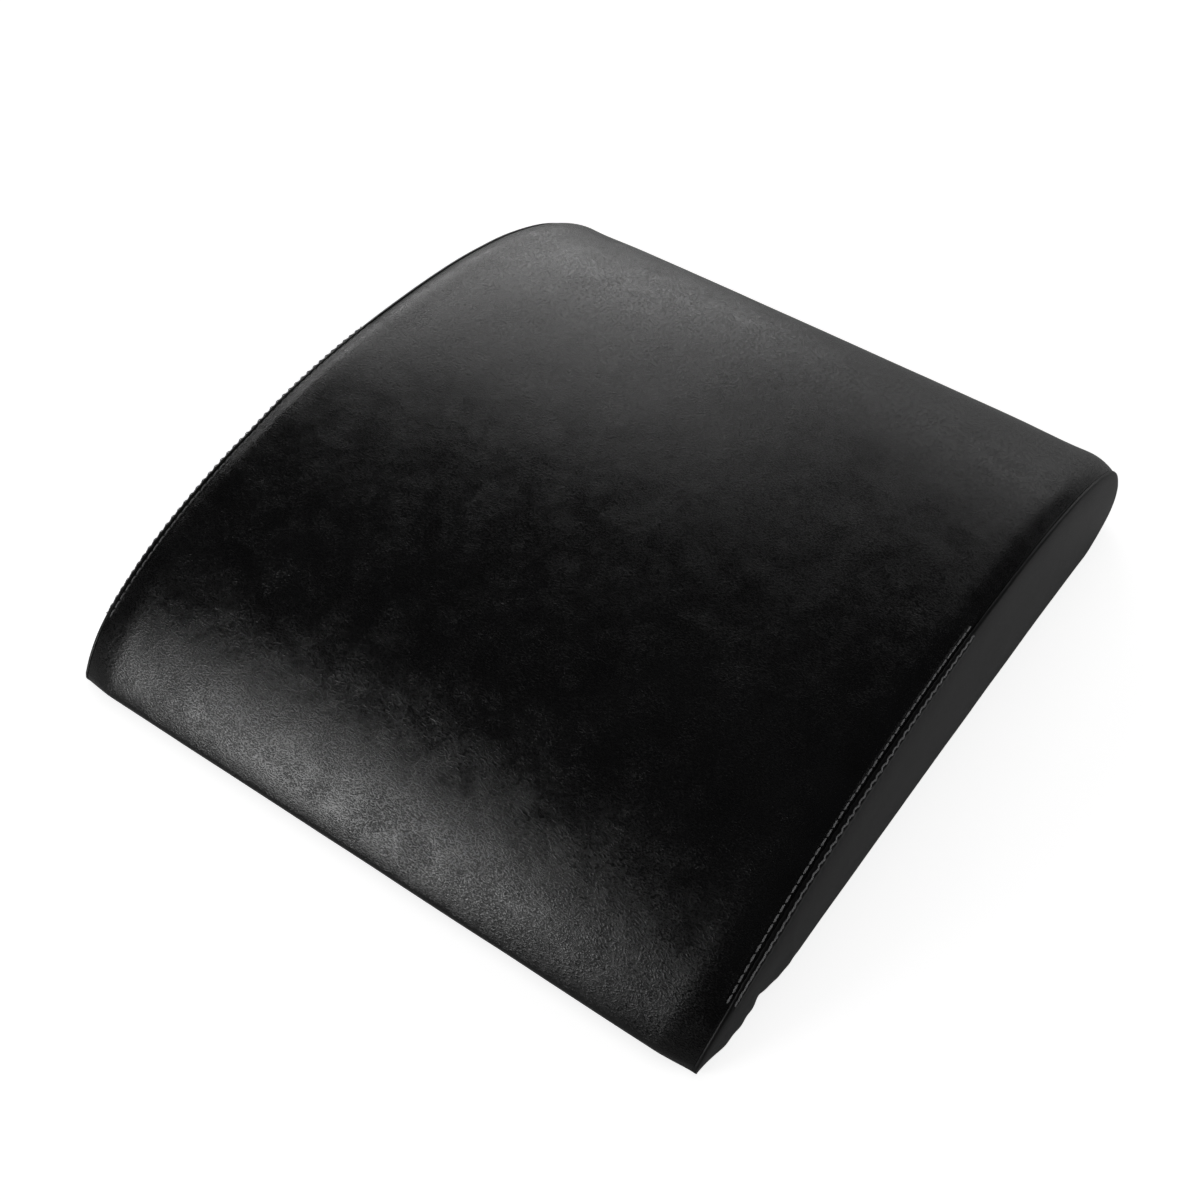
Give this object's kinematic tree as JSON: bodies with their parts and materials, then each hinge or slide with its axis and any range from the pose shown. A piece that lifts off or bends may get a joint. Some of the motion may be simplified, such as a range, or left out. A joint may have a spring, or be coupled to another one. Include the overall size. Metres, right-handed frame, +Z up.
{
  "type": "ab mat",
  "caption": "Low wedge-shaped foam support for sit-ups in a sewn black faux leather cover with a zip across the rear face.",
  "frame": {"origin": "middle of the flat base, on the floor plane", "axes": "+X to the right of a user facing the rear, +Y from the low front edge to the thick rear, +Z up"},
  "size_m": [0.3192, 0.3728, 0.084],
  "materials": {
    "cover_top": "satin pebble grain",
    "cover_side": "satin fine grain",
    "cover_base": "matt anti-slip grain",
    "foam": "matt closed skin",
    "thread": "bonded polyester",
    "zip_tape": "woven",
    "zip_coil": "nylon",
    "zip_metal": "black lacquer, worn at the edges"
  },
  "bodies": {
    "pad": {"foam_core": "foam", "top_panel": "cover_top", "base_panel": "cover_base", "left_gusset": "cover_side", "right_gusset": "cover_side", "zip_end_tab_left": "cover_side", "zip_end_tab_right": "cover_side", "left_seam_thread_inner": "thread", "left_seam_thread_outer": "thread", "right_seam_thread_inner": "thread", "right_seam_thread_outer": "thread", "hem_thread_upper": "thread", "hem_thread_lower": "thread", "zip_tape_upper": "zip_tape", "zip_tape_lower": "zip_tape", "zip_coil_upper": "zip_coil", "zip_coil_lower": "zip_coil", "zip_top_stop_upper": "zip_metal", "zip_top_stop_lower": "zip_metal", "zip_bottom_stop": "zip_metal"},
    "slider": {"zip_slider": "zip_metal"},
    "pull": {"zip_pull": "zip_metal"}
  },
  "joints": [
    {"name": "zip_slide", "type": "slide", "parent": "pad", "child": "slider", "axis": [-1, 0, 0], "range_m": [0, 0.224]},
    {"name": "pull_hinge", "type": "hinge", "parent": "slider", "child": "pull", "pos_m": [0.112, 0.18639, 0.01493], "axis": [0, 0.0885, -0.9961], "range_deg": [0, 175]}
  ]
}
